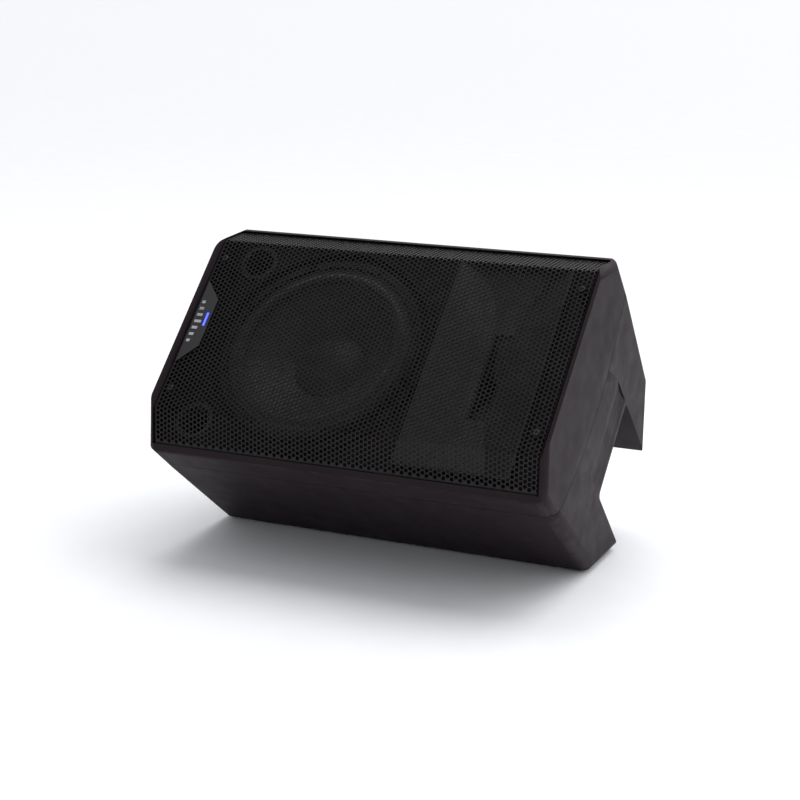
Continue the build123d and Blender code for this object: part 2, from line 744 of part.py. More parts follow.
def horn_stations(grow):
    """Mouth, two stations of the flare and the throat, as (width, height, radius, depth)."""
    mouth = baffle_depth - horn_flange_thickness
    run = horn_throat_depth - mouth
    throat = 2 * horn_throat_radius
    return [
        (horn_mouth_width + grow, horn_mouth_height + grow, horn_corner_radius, mouth),
        (horn_mouth_width * 0.66 + grow, horn_mouth_height * 0.56 + grow, horn_corner_radius,
         mouth + run * 0.4),
        (horn_mouth_width * 0.36 + grow, horn_mouth_height * 0.24 + grow, horn_corner_radius,
         mouth + run * 0.75),
        (throat + grow, throat + grow, throat / 2 + grow / 2 - 0.05, horn_throat_depth),
    ]


def horn():
    mouth = baffle_depth - horn_flange_thickness
    outside = loft([horn_section(*s) for s in horn_stations(2 * horn_wall)])
    inside = loft([horn_section(*s) for s in horn_stations(0)])
    flange = Pos(horn_x, 0, -baffle_depth) * extrude(
        RectangleRounded(horn_mouth_width + 2 * horn_flange_margin,
                         horn_mouth_height + 2 * horn_flange_end_margin,
                         horn_corner_radius), horn_flange_thickness)
    body = outside + flange
    body += rod(horn_x, 0, driver_radius, (horn_throat_depth - 6, horn_throat_depth))
    body -= inside
    body -= rod(horn_x, 0, horn_throat_radius - 0.1, (horn_throat_depth - 8, horn_throat_depth + 1))
    for x, y in horn_screw_places():
        body -= rod(x, y, horn_screw_radius + screw_clearance, (mouth - 1, baffle_depth + 1))
    bolts = around(horn_x, 0, driver_bolt_circle, 2, 90)
    for x, y in bolts:
        body -= rod(x, y, driver_bolt_radius + screw_clearance, (mouth + 30, horn_throat_depth + 1))
    keep("horn_waveguide", body)
    keep("horn_screws", joined([screw(x, y, horn_screw_radius, horn_screw_head, 1.8, mouth, 8.5)
                                for x, y in horn_screw_places()]))
    plate_back = horn_throat_depth + driver_plate_thickness
    magnet_back = plate_back + driver_magnet_thickness
    plate = tube(horn_x, 0, driver_radius, horn_throat_radius, (horn_throat_depth, plate_back))
    for x, y in bolts:
        plate -= rod(x, y, driver_bolt_radius + 0.05, (horn_throat_depth - 1, plate_back + 1))
    keep("driver_top_plate", plate)
    seat = horn_throat_depth - 6
    keep("driver_bolts", joined([
        rod(x, y, driver_bolt_radius, (seat, plate_back)) + hex_head(x, y, seat) for x, y in bolts]))
    plug = rod(horn_x, 0, diaphragm_radius + 3, (plate_back, plate_back + 5))
    for radius in (8.0, 16.0):
        plug -= tube(horn_x, 0, radius + 1, radius, (plate_back - 1, plate_back + 3.5))
    keep("driver_phase_plug", plug - rod(horn_x, 0, 3, (plate_back - 1, plate_back + 6)))
    keep("driver_magnet", tube(horn_x, 0, driver_radius, driver_magnet_inner, (plate_back, magnet_back)))
    rim = magnet_back - 2.5
    cap = dome(horn_x, 0, diaphragm_radius, diaphragm_rise, 0.6, rim - 5.5)
    former = tube(horn_x, 0, diaphragm_radius + 0.3, diaphragm_radius - 0.3, (rim - 6, rim))
    keep("driver_diaphragm", cap + former)
    yoke = tube(horn_x, 0, driver_radius, 8, (magnet_back, magnet_back + 7))
    yoke += tube(horn_x, 0, driver_magnet_inner - 0.5, diaphragm_radius + 1.6, (rim - 4, magnet_back + 1))
    yoke += tube(horn_x, 0, diaphragm_radius - 1.2, 8, (rim - 3, magnet_back + 1))
    keep("driver_yoke", yoke)
    back = magnet_back + 7
    lid = rod(horn_x, 0, driver_cap_radius, (back, back + driver_cap_height))
    lid = fillet(lid.edges().group_by(Axis.Z)[0], 5)
    keep("driver_rear_cap", lid - rod(horn_x, 0, driver_cap_radius - 3,
                                      (back - 1, back + driver_cap_height - 4)))


def hex_head(x, y, seat):
    return Pos(x, y, -seat) * extrude(RegularPolygon(5.5, 6), 4)


def ports():
    tubes = []
    for side in (-1, 1):
        y = side * port_y
        wall = tube(port_x, y, port_radius + port_wall, port_radius,
                    (baffle_depth - 2, baffle_depth + port_length))
        wall += tube(port_x, y, port_flange_radius, port_radius, (baffle_depth - 2, baffle_depth))
        tubes.append(wall)
    keep("bass_ports", joined(tubes))


# ---- amplifier panel -----------------------------------------------------------------------
def panel_screw_places():
    low = panel_x_low + panel_screw_inset
    step = (panel_x_high - panel_x_low - 2 * panel_screw_inset) / (panel_screw_rows - 1)
    edge = panel_width / 2 - panel_screw_inset
    return [(low + i * step, side * edge) for i in range(panel_screw_rows) for side in (-1, 1)]


def panel():
    x = (panel_x_low, panel_x_high)
    half = panel_width / 2
    margin = panel_opening_margin
    plate = block(x, (-half, half), (panel_inner, panel_outer))
    plate = fillet(plate.edges().filter_by(Axis.Z), 6)
    seal = block(x, (-half, half), (valley_floor_depth, panel_inner))
    seal -= block((x[0] + margin, x[1] - margin), (-half + margin, half - margin),
                  (valley_floor_depth - 1, panel_inner + 1))
    for sx, sy in panel_screw_places():
        plate -= rod(sx, sy, panel_screw_radius + screw_clearance, (panel_inner - 1, panel_outer + 1))
        seal -= rod(sx, sy, panel_screw_radius + screw_clearance, (valley_floor_depth - 1, panel_inner + 1))
    cut = (panel_inner - 1, panel_outer + 1)
    for y in knob_y:
        plate -= rod(knob_x, y, spindle_radius + 0.8, cut)
    for sx, sy in socket_places():
        plate -= rod(sx, sy, socket_body_radius + 0.1, cut)
    for y in button_y:
        plate -= rod(button_x, y, button_radius + button_gap, cut)
    for y in led_y:
        plate -= rod(led_x, y, led_radius + 0.05, cut)
    body_size = (inlet_size[0] - 6, inlet_size[1] - 6)
    plate -= centered_block(inlet_x, inlet_y, (body_size[0] + 0.2, body_size[1] + 0.2), cut)
    frame_body = (rocker_frame_size[0] - 5, rocker_frame_size[1] - 5)
    plate -= centered_block(rocker_x, rocker_y, (frame_body[0] + 0.2, frame_body[1] + 0.2), cut)
    keep("amp_panel", plate)
    keep("amp_gasket", seal)
    keep("amp_screws", joined([rear_screw(sx, sy) for sx, sy in panel_screw_places()]))


def rear_screw(x, y):
    head = rod(x, y, panel_screw_head, (panel_outer, panel_outer + 2.2))
    head = fillet(head.edges().group_by(Axis.Z)[0], 1.0)
    slot = (panel_outer + 1.1, panel_outer + 3)
    head -= centered_block(x, y, (4.2, 1.1), slot) + centered_block(x, y, (1.1, 4.2), slot)
    return head + rod(x, y, panel_screw_radius, (valley_floor_depth - 9, panel_outer + 0.1))


def socket_places():
    return [(socket_x, -socket_y), (socket_x, socket_y), (link_x, -socket_y)]


def board():
    margin = board_margin
    x = (panel_x_low + margin, panel_x_high - margin)
    y = (-panel_width / 2 + margin, panel_width / 2 - margin)
    keep("amp_board", block(x, y, (board_back - board_thickness, board_back)))
    spots = [(sx, side * (y[1] - standoff_inset)) for sx in standoff_x for side in (-1, 1)]
    keep("board_standoffs", joined([rod(sx, sy, standoff_radius, (board_back, panel_inner)) for sx,
                                    sy in spots]))
    front = board_back - board_thickness
    core = centered_block(42, 0, (40, 40), (front - 28, front))
    core = fillet(core.edges().filter_by(Axis.Z), 4)
    keep("power_transformer", core)
    cans = []
    for cx, cy in ((5, -28), (5, 28), (34, 35), (34, -35)):
        can = rod(cx, cy, 9, (front - 25, front))
        cans.append(fillet(can.edges().group_by(Axis.Z)[-1], 1.2))
    keep("filter_capacitors", joined(cans))


def controls():
    names = ("gain_knob_1", "master_knob", "gain_knob_2")
    pots = []
    base = panel_outer + knob_gap
    for name, y in zip(names, knob_y):
        cap = rod(knob_x, y, knob_radius, (base, base + knob_height))
        cap = chamfer(cap.edges().group_by(Axis.Z)[0], 1.0)
        for fx, fy in around(knob_x, y, knob_radius + 0.9, knob_flutes, 15):
            cap -= rod(fx, fy, 1.6, (base + 2, base + knob_height + 1))
        cap -= block((knob_x + 2, knob_x + knob_radius + 2), (y - 0.5, y + 0.5),
                     (base + knob_height - 0.7, base + knob_height + 1))
        cap += rod(knob_x, y, spindle_radius, (panel_inner - pot_depth + 3, base + 1))
        keep(name, cap)
        pot = centered_block(knob_x, y, (pot_size, pot_size), (panel_inner - pot_depth, panel_inner))
        pots.append(pot - rod(knob_x, y, spindle_radius + spindle_clearance,
                              (panel_inner - pot_depth + 2, panel_inner + 1)))
    keep("potentiometers", joined(pots))
    caps = ("voicing_button", "ground_button")
    bodies = []
    for name, y in zip(caps, button_y):
        stem = panel_inner - 8
        cap = rod(button_x, y, button_radius, (stem, panel_outer + button_height))
        keep(name, fillet(cap.edges().group_by(Axis.Z)[0], 0.8))
        body = centered_block(button_x, y, (switch_size, switch_size),
                              (panel_inner - switch_depth, panel_inner))
        bodies.append(body - rod(button_x, y, button_radius + button_gap,
                                 (stem - button_travel - 0.6, panel_inner + 1)))
    keep("button_switches", joined(bodies))
    keep("panel_leds", joined([rod(led_x, y, led_radius,
                                   (panel_inner - 4, panel_outer + 1)) for y in led_y]))


def sockets():
    for i, (x, y) in enumerate(socket_places()):
        face = panel_outer + socket_flange_thickness
        flange = centered_block(x, y, socket_flange, (panel_outer, face))
        flange = fillet(flange.edges().filter_by(Axis.Z), 2.5)
        body = flange + rod(x, y, socket_body_radius, (panel_outer - socket_body_depth, panel_outer + 1))
        male = i == 2
        if male:
            body -= rod(x, y, socket_bore_radius, (face - socket_bore_depth, face + 1))
            for px, py in around(x, y, contact_circle, 3, 90):
                body += rod(px, py, contact_radius, (face - socket_bore_depth - 1, face - 4))
        else:
            body -= tube(x, y, socket_bore_radius, socket_bore_radius - 1.2,
                         (face - socket_bore_depth, face + 1))
            for px, py in around(x, y, contact_circle, 3, 90):
                body -= rod(px, py, contact_radius + 0.2, (face - socket_bore_depth, face + 1))
            latch_x = x + socket_flange[0] / 2 - 3.4
            hole = (latch_size[0] + 2 * latch_gap, latch_size[1] + 2 * latch_gap)
            body -= centered_block(latch_x, y, hole, (panel_outer, face + 1))
            low = panel_outer + latch_travel + 0.4
            keep(f"socket_latch_{i + 1}", centered_block(latch_x, y, latch_size, (low, low + latch_height)))
        for corner in (-1, 1):
            body -= rod(x + corner * (socket_flange[0] / 2 - 4),
                        y - corner * (socket_flange[1] / 2 - 3), 1.5,
                        (face - 1.2, face + 1))
        keep("link_socket" if male else f"input_socket_{i + 1}", body)


def heat_sink():
    half = sink_width / 2
    body = block(sink_x, (-half, half), (panel_outer, panel_outer + sink_base))
    pitch = (sink_width - sink_fin_thickness) / (sink_fin_count - 1)
    for i in range(sink_fin_count):
        y = -half + i * pitch
        body += block(sink_x, (y, y + sink_fin_thickness),
                      (panel_outer + sink_base - 0.5, panel_outer + sink_base + sink_fin_height))
    keep("heat_sink", body)


def mains():
    face = panel_outer + inlet_flange_thickness
    flange = centered_block(inlet_x, inlet_y, inlet_size, (panel_outer, face))
    flange = fillet(flange.edges().filter_by(Axis.Z), 3)
    core = (inlet_size[0] - 6, inlet_size[1] - 6)
    body = flange + centered_block(inlet_x, inlet_y, core,
                                   (panel_outer - inlet_body_depth, panel_outer + 1))
    mouth_x = inlet_x + inlet_mouth_offset
    body -= centered_block(mouth_x, inlet_y, inlet_mouth, (face - inlet_mouth_depth, face + 1))
    for dx, dy in ((3.0, 0.0), (-2.5, -7.0), (-2.5, 7.0)):
        body += centered_block(mouth_x + dx, inlet_y + dy, inlet_pin,
                               (face - inlet_mouth_depth - 1, face - 3))
    fuse_x = inlet_x + fuse_offset
    hole = (fuse_size[0] + 2 * fuse_gap, fuse_size[1] + 2 * fuse_gap)
    body -= centered_block(fuse_x, inlet_y, hole, (face - fuse_depth - 0.5, face + 1))
    keep("power_inlet", body)
    drawer = centered_block(fuse_x, inlet_y, fuse_size, (face - fuse_depth, face + 1.5))
    drawer -= centered_block(fuse_x, inlet_y, (fuse_size[0] - 3, fuse_size[1] - 3),
                             (face - fuse_depth - 1, face - 3))
    drawer -= centered_block(fuse_x - fuse_size[0] / 2, inlet_y, (1.6, 8), (face + 0.5, face + 2))
    keep("fuse_drawer", drawer)

    top = panel_outer + 2.0
    frame = centered_block(rocker_x, rocker_y, rocker_frame_size, (panel_outer, top))
    frame = fillet(frame.edges().filter_by(Axis.Z), 2)
    shell = (rocker_frame_size[0] - 5, rocker_frame_size[1] - 5)
    frame += centered_block(rocker_x, rocker_y, shell, (panel_outer - rocker_body_depth, panel_outer + 1))
    hole = (rocker_size[0] + 4.0, rocker_size[1] + 2 * rocker_gap)
    frame -= centered_block(rocker_x, rocker_y, hole, (panel_outer - rocker_body_depth + 3, top + 1))
    pivot = panel_outer + rocker_pivot_rise
    keep("rocker_frame", frame)
    half = rocker_size[0] / 2
    shape = [(-half, pivot - 5), (half, pivot - 5), (half, pivot + 7.5), (0, pivot + 5.6),
             (-half, pivot + 7.5)]
    paddle = extrude(Plane.XZ * Polygon(*[(x, -n) for x, n in shape], align=None), rocker_size[1] / 2,
                     both=True)
    paddle = Pos(rocker_x, rocker_y, 0) * paddle
    hinge = Axis((rocker_x, rocker_y, -pivot), (0, 1, 0))
    keep("power_rocker", paddle.rotate(hinge, rocker_tilt))


# ---- handle, pole socket, feet, inserts, leads ---------------------------------------------
def fittings():
    x = (handle_x[0] + handle_fit, handle_x[1] - handle_fit)
    half = handle_width / 2 - handle_fit
    wall = handle_wall
    back = valley_floor_depth
    cup = block(x, (-half, half), (back - handle_depth, back))
    cup = fillet(cup.edges().filter_by(Axis.Z), 5)
    lip = handle_flange
    rim = block((x[0] - lip, x[1] + lip), (-half - lip, half + lip), (back, back + handle_flange_thickness))
    rim = fillet(rim.edges().filter_by(Axis.Z), 5 + lip)
    hollow = block((x[0] + wall, x[1] - wall), (-half + wall, half - wall),
                   (back - handle_depth + wall, back + 5))
    hollow = fillet(hollow.edges().filter_by(Axis.Z), 5 - wall)
    keep("handle_cup", cup + rim - hollow)

    seat = -half_length + end_seat_inset
    outer = pole_radius_bore + pole_socket_wall
    socket = along_x(0, pole_axis_depth, pole_flange_radius, (seat - pole_flange_thickness, seat))
    socket += along_x(0, pole_axis_depth, outer, (seat - 1, seat + pole_socket_length + pole_socket_wall))
    socket -= along_x(0, pole_axis_depth, pole_radius_bore,
                      (seat - pole_flange_thickness - 1, seat - pole_flange_thickness + pole_socket_length))
    keep("pole_socket", socket)

    feet = []
    for y, n in foot_places:
        for side in (-1, 1):
            foot = along_x(side * y, n, foot_radius, (-half_length - foot_height, seat))
            feet.append(chamfer(foot.edges().group_by(Axis.X)[0], 1.5))
    keep("base_feet", joined(feet))
    keep("wedge_pads", joined([wing_pad(x, side) for x in (-pad_x, pad_x) for side in (-1, 1)]))
    inserts = []
    for side in (-1, 1):
        y = side * insert_y
        inserts.append(tube(insert_x, y, insert_radius, insert_thread_radius,
                            (valley_floor_depth - insert_length, valley_floor_depth)))
    keep("bracket_inserts", joined(inserts))


def wing_pad(x, side):
    """A rubber pad on the sloping face of a wing, which is level when the cabinet lies on it."""
    angle = radians(monitor_angle)
    across = (cos(angle), sin(angle))                  # (inward, deeper) along the wing's slope
    middle = pad_edge_inset + pad_size[1] / 2
    y = wing_start_width / 2 - across[0] * middle + sin(angle) * pad_thickness / 2
    n = wing_start_depth + across[1] * middle + cos(angle) * pad_thickness / 2
    pad = Box(pad_size[0], pad_size[1], pad_thickness)
    pad = fillet(pad.edges().filter_by(Axis.Z), 6)
    return Pos(x, side * y, -n) * Rot(side * monitor_angle, 0, 0) * pad


def lead(points, radius, bend):
    """A round insulated lead along straight runs joined by arcs."""
    path = FilletPolyline(*[(x, y, -n) for x, y, n in points], radius=bend)
    start = Plane(origin=path @ 0, z_dir=path % 0)
    return sweep(start * Circle(radius), path)


def speaker_leads():
    """Two leads from the board's inner face, one beside the woofer and one beside the horn."""
    runs = []
    for middle, side, starts, ends, drops, bend in lead_runs:
        start_y, end_y = side * lead_start_y, side * lead_end_y
        front = board_back - board_thickness
        near, far = middle - starts, middle - ends
        runs.append(lead([(near, start_y, front), (near, start_y, front - drops[0]),
                          (far, end_y, front - drops[1]), (far, end_y, front - drops[2])],
                         lead_radius, bend))
    keep("speaker_leads", joined(runs))


def build():
    cabinet = cabinet_solid()
    keep("front_moulding", front_moulding(cabinet))
    keep("rear_shell", rear_shell(cabinet))
    keep("grille", grille())
    front_screws()
    badge()
    woofer()
    horn()
    ports()
    panel()
    board()
    controls()
    sockets()
    heat_sink()
    mains()
    fittings()
    speaker_leads()


def tilt_and_write():
    """Lay the cabinet on its lower wing, with the origin under the middle of its box."""
    tilted = {name: Rot(monitor_angle, 0, 0) * shape for name, shape in parts.items()}
    box = Compound(children=[solid for shape in tilted.values() for solid in shape.solids()]).bounding_box()
    shift = Pos(-(box.min.X + box.max.X) / 2, -(box.min.Y + box.max.Y) / 2, -box.min.Z)
    os.makedirs("parts", exist_ok=True)
    for name, shape in tilted.items():
        export_step(joined([shift * shape]), f"parts/{name}.step")
    print("shift", shift.position, "size", box.size)


build()
tilt_and_write()
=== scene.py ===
import json
import math

import bmesh
import bpy
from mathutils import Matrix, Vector


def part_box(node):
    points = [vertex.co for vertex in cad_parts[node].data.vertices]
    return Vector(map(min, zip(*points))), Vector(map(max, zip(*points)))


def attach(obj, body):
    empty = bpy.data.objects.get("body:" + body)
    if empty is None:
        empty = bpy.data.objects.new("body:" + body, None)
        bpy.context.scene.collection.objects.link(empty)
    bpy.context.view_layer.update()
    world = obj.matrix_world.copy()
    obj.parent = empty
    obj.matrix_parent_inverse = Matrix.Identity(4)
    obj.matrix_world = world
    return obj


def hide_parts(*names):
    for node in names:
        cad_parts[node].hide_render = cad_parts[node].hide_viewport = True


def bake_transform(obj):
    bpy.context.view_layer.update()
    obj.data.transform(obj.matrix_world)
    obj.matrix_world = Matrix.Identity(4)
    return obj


# Powered stage monitor wedge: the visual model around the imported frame.
# Lengths in the cabinet's own frame are millimetres: x along the cabinet, y up the face and
# depth square to the face, measured back from it.  at() turns them into the row's metres.

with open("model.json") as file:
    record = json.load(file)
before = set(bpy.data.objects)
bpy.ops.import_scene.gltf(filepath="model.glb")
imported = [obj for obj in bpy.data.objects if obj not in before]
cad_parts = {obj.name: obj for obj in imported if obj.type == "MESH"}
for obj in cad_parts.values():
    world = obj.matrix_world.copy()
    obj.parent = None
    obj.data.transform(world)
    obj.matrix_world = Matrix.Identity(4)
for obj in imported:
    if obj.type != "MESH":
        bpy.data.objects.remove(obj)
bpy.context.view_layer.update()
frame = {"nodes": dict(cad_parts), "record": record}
NODES = frame["nodes"]
MM = 0.001

mounts = {m["name"]: m for m in frame["record"]["mounts"]}
BACK = Vector(mounts["bracket_upper"]["axis"]).normalized()
ALONG = Vector((1, 0, 0))
UP = ALONG.cross(BACK)
brackets = [Vector(mounts[name]["pos_m"]) for name in ("bracket_upper", "bracket_lower")]
bracket_middle = (brackets[0] + brackets[1]) / 2
BRACKET_X, VALLEY_DEPTH, INSERT_LENGTH = -208.0, 200.0, 15.0
BRACKET_DEPTH = VALLEY_DEPTH - INSERT_LENGTH / 2     # to the middle of an insert's length
ORIGIN = bracket_middle - ALONG * BRACKET_X * MM - BACK * BRACKET_DEPTH * MM


def at(x, y, depth):
    return ORIGIN + (ALONG * x + UP * y + BACK * depth) * MM


def local(point):
    """Row metres to the cabinet's own millimetres."""
    p = (Vector(point) - ORIGIN) / MM
    return p.dot(ALONG), p.dot(UP), p.dot(BACK)


def middle_of(node):
    lo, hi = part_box(node)
    return local((lo + hi) / 2)


# ---- materials -----------------------------------------------------------------------------
GLOSS_SPREAD = 0.08          # how far roughness wanders either side of a finish's own
PALE_LIFT = 0.001            # keeps a nearly black finish's pale patches from being black too
MOULDED_SPECULAR = 0.08      # the cabinet's plastic hardly mirrors its surroundings
MOULDED_VARY = 0.12          # share by which its colour varies
SMOOTHER, ROUGHER = 0.05, 0.06           # how far its roughness wanders
CELL_SIZE, CELL_DEPTH = 0.9, 0.06        # mm across and into one cell of the moulded grain
TOOTH_SCALE = 2600.0
CELL_STRENGTH, TOOTH_STRENGTH = 0.8, 0.6
LENS_ROUGHNESS = 0.2
# paler edges, real wear on most finishes and a painted highlight on the grille's hole edges: scale and
# detail of the scuffs, ranges of pointiness and of noise, gain and lift of the colour
PLAIN_WEAR_AND_GLINT = dict(scuffs_and_glints=(90.0, 3.0), edge=(0.515, 0.57), patches=(0.35, 0.75), paler=(2.2, 0.03))
MOULDED_WEAR = dict(scuffs_and_glints=(60.0, 4.0), edge=(0.52, 0.6), patches=(0.4, 0.75), paler=(2.0, 0.02))


def tree_of(name):
    mat = bpy.data.materials.new(name)
    mat.use_nodes = True
    nodes, links = mat.node_tree.nodes, mat.node_tree.links
    shader = nodes["Principled BSDF"]
    place = nodes.new("ShaderNodeTexCoord")
    return mat, nodes, links, shader, place.outputs["Object"]


def texture(nodes, links, place, kind, scale, detail=2.0, stretch=None):
    if stretch:
        mapping = nodes.new("ShaderNodeMapping")
        mapping.inputs["Scale"].default_value = stretch
        links.new(place, mapping.inputs["Vector"])
        place = mapping.outputs["Vector"]
    node = nodes.new(f"ShaderNodeTex{kind}")
    node.inputs["Scale"].default_value = scale
    if kind == "Noise":
        node.inputs["Detail"].default_value = detail
    links.new(place, node.inputs["Vector"])
    return node.outputs["Fac" if kind == "Noise" else "Distance"]


def spread(nodes, links, value, low, high, start=0.3, stop=0.7):
    node = nodes.new("ShaderNodeMapRange")
    node.inputs["From Min"].default_value = start
    node.inputs["From Max"].default_value = stop
    node.inputs["To Min"].default_value = low
    node.inputs["To Max"].default_value = high
    links.new(value, node.inputs["Value"])
    return node.outputs["Result"]


def mixed(nodes, links, factor, one, two):
    node = nodes.new("ShaderNodeMix")
    node.data_type = "RGBA"
    for socket, colour in ((node.inputs[6], one), (node.inputs[7], two)):
        if isinstance(colour, tuple):
            socket.default_value = (*colour, 1)
        else:
            links.new(colour, socket)
    links.new(factor, node.inputs[0])
    return node.outputs[2]


def bumped(nodes, links, shader, height, distance, strength=1.0, under=None):
    node = nodes.new("ShaderNodeBump")
    node.inputs["Distance"].default_value = distance
    node.inputs["Strength"].default_value = strength
    links.new(height, node.inputs["Height"])
    if under:
        links.new(under, node.inputs["Normal"])
    links.new(node.outputs["Normal"], shader.inputs["Normal"])
    return node.outputs["Normal"]


def rubbed_and_glinting(nodes, links, place, tint, colour, wear, scuffs_and_glints, edge, patches, paler):
    """A tint that turns paler in patches along the edges that stand out: wear, and on the grille a
    painted highlight.
    """
    shape = nodes.new("ShaderNodeNewGeometry")
    scuff_and_glint = texture(nodes, links, place, "Noise", *scuffs_and_glints)
    both = nodes.new("ShaderNodeMath")
    both.operation = "MULTIPLY"
    links.new(spread(nodes, links, shape.outputs["Pointiness"], 0, 1, *edge), both.inputs[0])
    links.new(spread(nodes, links, scuff_and_glint, 0, wear, *patches), both.inputs[1])
    gain, lift = paler
    return mixed(nodes, links, both.outputs[0], tint, tuple(min(c * gain + lift, 1) for c in colour))


def finish_of(name, colour, rough, metallic, grain, vary=0.25, wear=0.0, specular=0.5,
              sheen=0.0, stretch=None, blotch=14.0):
    """Mottled colour, uneven gloss, a grain and, where the edge setting is given, paler edges: rubbed
    wear, and on the grille a painted highlight.
    """
    mat, nodes, links, shader, place = tree_of(name)
    shader.inputs["Metallic"].default_value = metallic
    shader.inputs["Specular IOR Level"].default_value = specular
    shader.inputs["Sheen Weight"].default_value = sheen
    cloud = texture(nodes, links, place, "Noise", blotch, 4.0, stretch)
    pale = tuple(min(c * (1 + vary) + PALE_LIFT, 1) for c in colour)
    dark = tuple(c * (1 - vary) for c in colour)
    tint = mixed(nodes, links, spread(nodes, links, cloud, 0, 1), dark, pale)
    if wear:
        tint = rubbed_and_glinting(nodes, links, place, tint, colour, wear, **PLAIN_WEAR_AND_GLINT)
    links.new(tint, shader.inputs["Base Color"])
    gloss = texture(nodes, links, place, "Noise", blotch * 4, 3.0)
    uneven = spread(nodes, links, gloss, rough - GLOSS_SPREAD, rough + GLOSS_SPREAD)
    links.new(uneven, shader.inputs["Roughness"])
    kind, scale, distance = grain
    fine = texture(nodes, links, place, kind, scale, 3.0, stretch)
    bumped(nodes, links, shader, fine, distance * MM)
    return mat


def glowing(name, colour, strength):
    mat, nodes, links, shader, place = tree_of(name)
    cloud = texture(nodes, links, place, "Noise", 120.0, 2.0)
    dimmer = tuple(c * 0.7 for c in colour)
    tint = mixed(nodes, links, spread(nodes, links, cloud, 0, 1), dimmer, colour)
    links.new(tint, shader.inputs["Base Color"])
    links.new(tint, shader.inputs["Emission Color"])
    shader.inputs["Emission Strength"].default_value = strength
    shader.inputs["Roughness"].default_value = LENS_ROUGHNESS
    return mat


def moulded(name, colour, rough, wear=0.5):
    """Leather-grained moulded plastic: small rounded cells with a finer tooth over them."""
    mat, nodes, links, shader, place = tree_of(name)
    shader.inputs["Specular IOR Level"].default_value = MOULDED_SPECULAR
    cloud = texture(nodes, links, place, "Noise", 7.0, 5.0)
    pale = tuple(c * (1 + MOULDED_VARY) for c in colour)
    dark = tuple(c * (1 - MOULDED_VARY) for c in colour)
    tint = mixed(nodes, links, spread(nodes, links, cloud, 0, 1), dark, pale)
    tint = rubbed_and_glinting(nodes, links, place, tint, colour, wear, **MOULDED_WEAR)
    links.new(tint, shader.inputs["Base Color"])
    gloss = texture(nodes, links, place, "Noise", 35.0, 3.0)
    uneven = spread(nodes, links, gloss, rough - SMOOTHER, rough + ROUGHER)
    links.new(uneven, shader.inputs["Roughness"])
    cells = texture(nodes, links, place, "Voronoi", 1000.0 / CELL_SIZE)
    tooth = texture(nodes, links, place, "Noise", TOOTH_SCALE, 2.0)
    first = bumped(nodes, links, shader, cells, CELL_DEPTH * MM, CELL_STRENGTH)
    bumped(nodes, links, shader, tooth, CELL_DEPTH * MM / 2, TOOTH_STRENGTH, first)
    return mat


# name: colour, roughness, metallic, grain as (texture, scale, depth in mm), and what differs further
PLAIN = {
    # grille_steel: its paler hole edges are a painted highlight, not worn paint
    "grille_steel": ((0.0075, 0.007, 0.0075), 0.36, 0.0, ("Noise", 1800.0, 0.04),
                     dict(wear=0.25, specular=0.22)),
    "screw_black": ((0.02, 0.02, 0.021), 0.3, 0.6, ("Noise", 900.0, 0.02), dict(wear=0.9)),
    "badge_plastic": ((0.012, 0.0115, 0.0125), 0.32, 0.0, ("Noise", 1500.0, 0.02)),
    "badge_metal": ((0.5, 0.5, 0.53), 0.32, 0.9, ("Noise", 700.0, 0.02), dict(stretch=(1, 12, 12))),
    "basket_alloy": ((0.03, 0.03, 0.032), 0.42, 0.5, ("Noise", 700.0, 0.06)),
    "rubber_black": ((0.012, 0.012, 0.012), 0.72, 0.0, ("Noise", 1200.0, 0.06), dict(specular=0.35)),
    "surround_cloth": ((0.014, 0.014, 0.015), 0.6, 0.0, ("Voronoi", 900.0, 0.1), dict(sheen=0.3)),
    "cone_paper": ((0.016, 0.0155, 0.016), 0.5, 0.0, ("Noise", 650.0, 0.18),
                   dict(vary=0.4, sheen=0.15, blotch=60.0)),
    "copper_wire": ((0.65, 0.24, 0.09), 0.3, 1.0, ("Noise", 1500.0, 0.05)),
    "spider_cloth": ((0.42, 0.27, 0.1), 0.75, 0.0, ("Voronoi", 800.0, 0.15), dict(sheen=0.4)),
    "zinc_steel": ((0.55, 0.55, 0.56), 0.34, 1.0, ("Noise", 500.0, 0.03)),
    "magnet_ferrite": ((0.035, 0.035, 0.037), 0.55, 0.0, ("Noise", 900.0, 0.08)),
    "horn_plastic": ((0.03, 0.03, 0.032), 0.36, 0.0, ("Noise", 1400.0, 0.03)),
    "diaphragm_metal": ((0.6, 0.6, 0.62), 0.28, 1.0, ("Noise", 400.0, 0.02)),
    "panel_metal": ((0.016, 0.016, 0.017), 0.42, 0.3, ("Noise", 1700.0, 0.05), dict(wear=0.4)),
    "board_laminate": ((0.02, 0.11, 0.045), 0.35, 0.0, ("Voronoi", 500.0, 0.05)),
    "brass": ((0.7, 0.47, 0.16), 0.28, 1.0, ("Noise", 600.0, 0.03)),
    "sink_alloy": ((0.022, 0.022, 0.023), 0.38, 0.8, ("Noise", 800.0, 0.04),
                   dict(wear=0.5, stretch=(1, 6, 6))),
    "transformer_core": ((0.09, 0.085, 0.08), 0.5, 0.5, ("Noise", 900.0, 0.1)),
    "capacitor_sleeve": ((0.015, 0.022, 0.05), 0.3, 0.0, ("Noise", 900.0, 0.02)),
    "knob_plastic": ((0.018, 0.018, 0.019), 0.4, 0.0, ("Noise", 1500.0, 0.04)),
    "socket_plastic": ((0.016, 0.016, 0.017), 0.36, 0.0, ("Noise", 1500.0, 0.03)),
    "latch_metal": ((0.6, 0.6, 0.61), 0.3, 1.0, ("Noise", 500.0, 0.03)),
    "button_plastic": ((0.35, 0.35, 0.36), 0.4, 0.0, ("Noise", 1500.0, 0.03)),
    "rocker_plastic": ((0.02, 0.02, 0.02), 0.3, 0.0, ("Noise", 1200.0, 0.02)),
    "lead_sheath": ((0.35, 0.02, 0.02), 0.45, 0.0, ("Noise", 900.0, 0.03)),
}
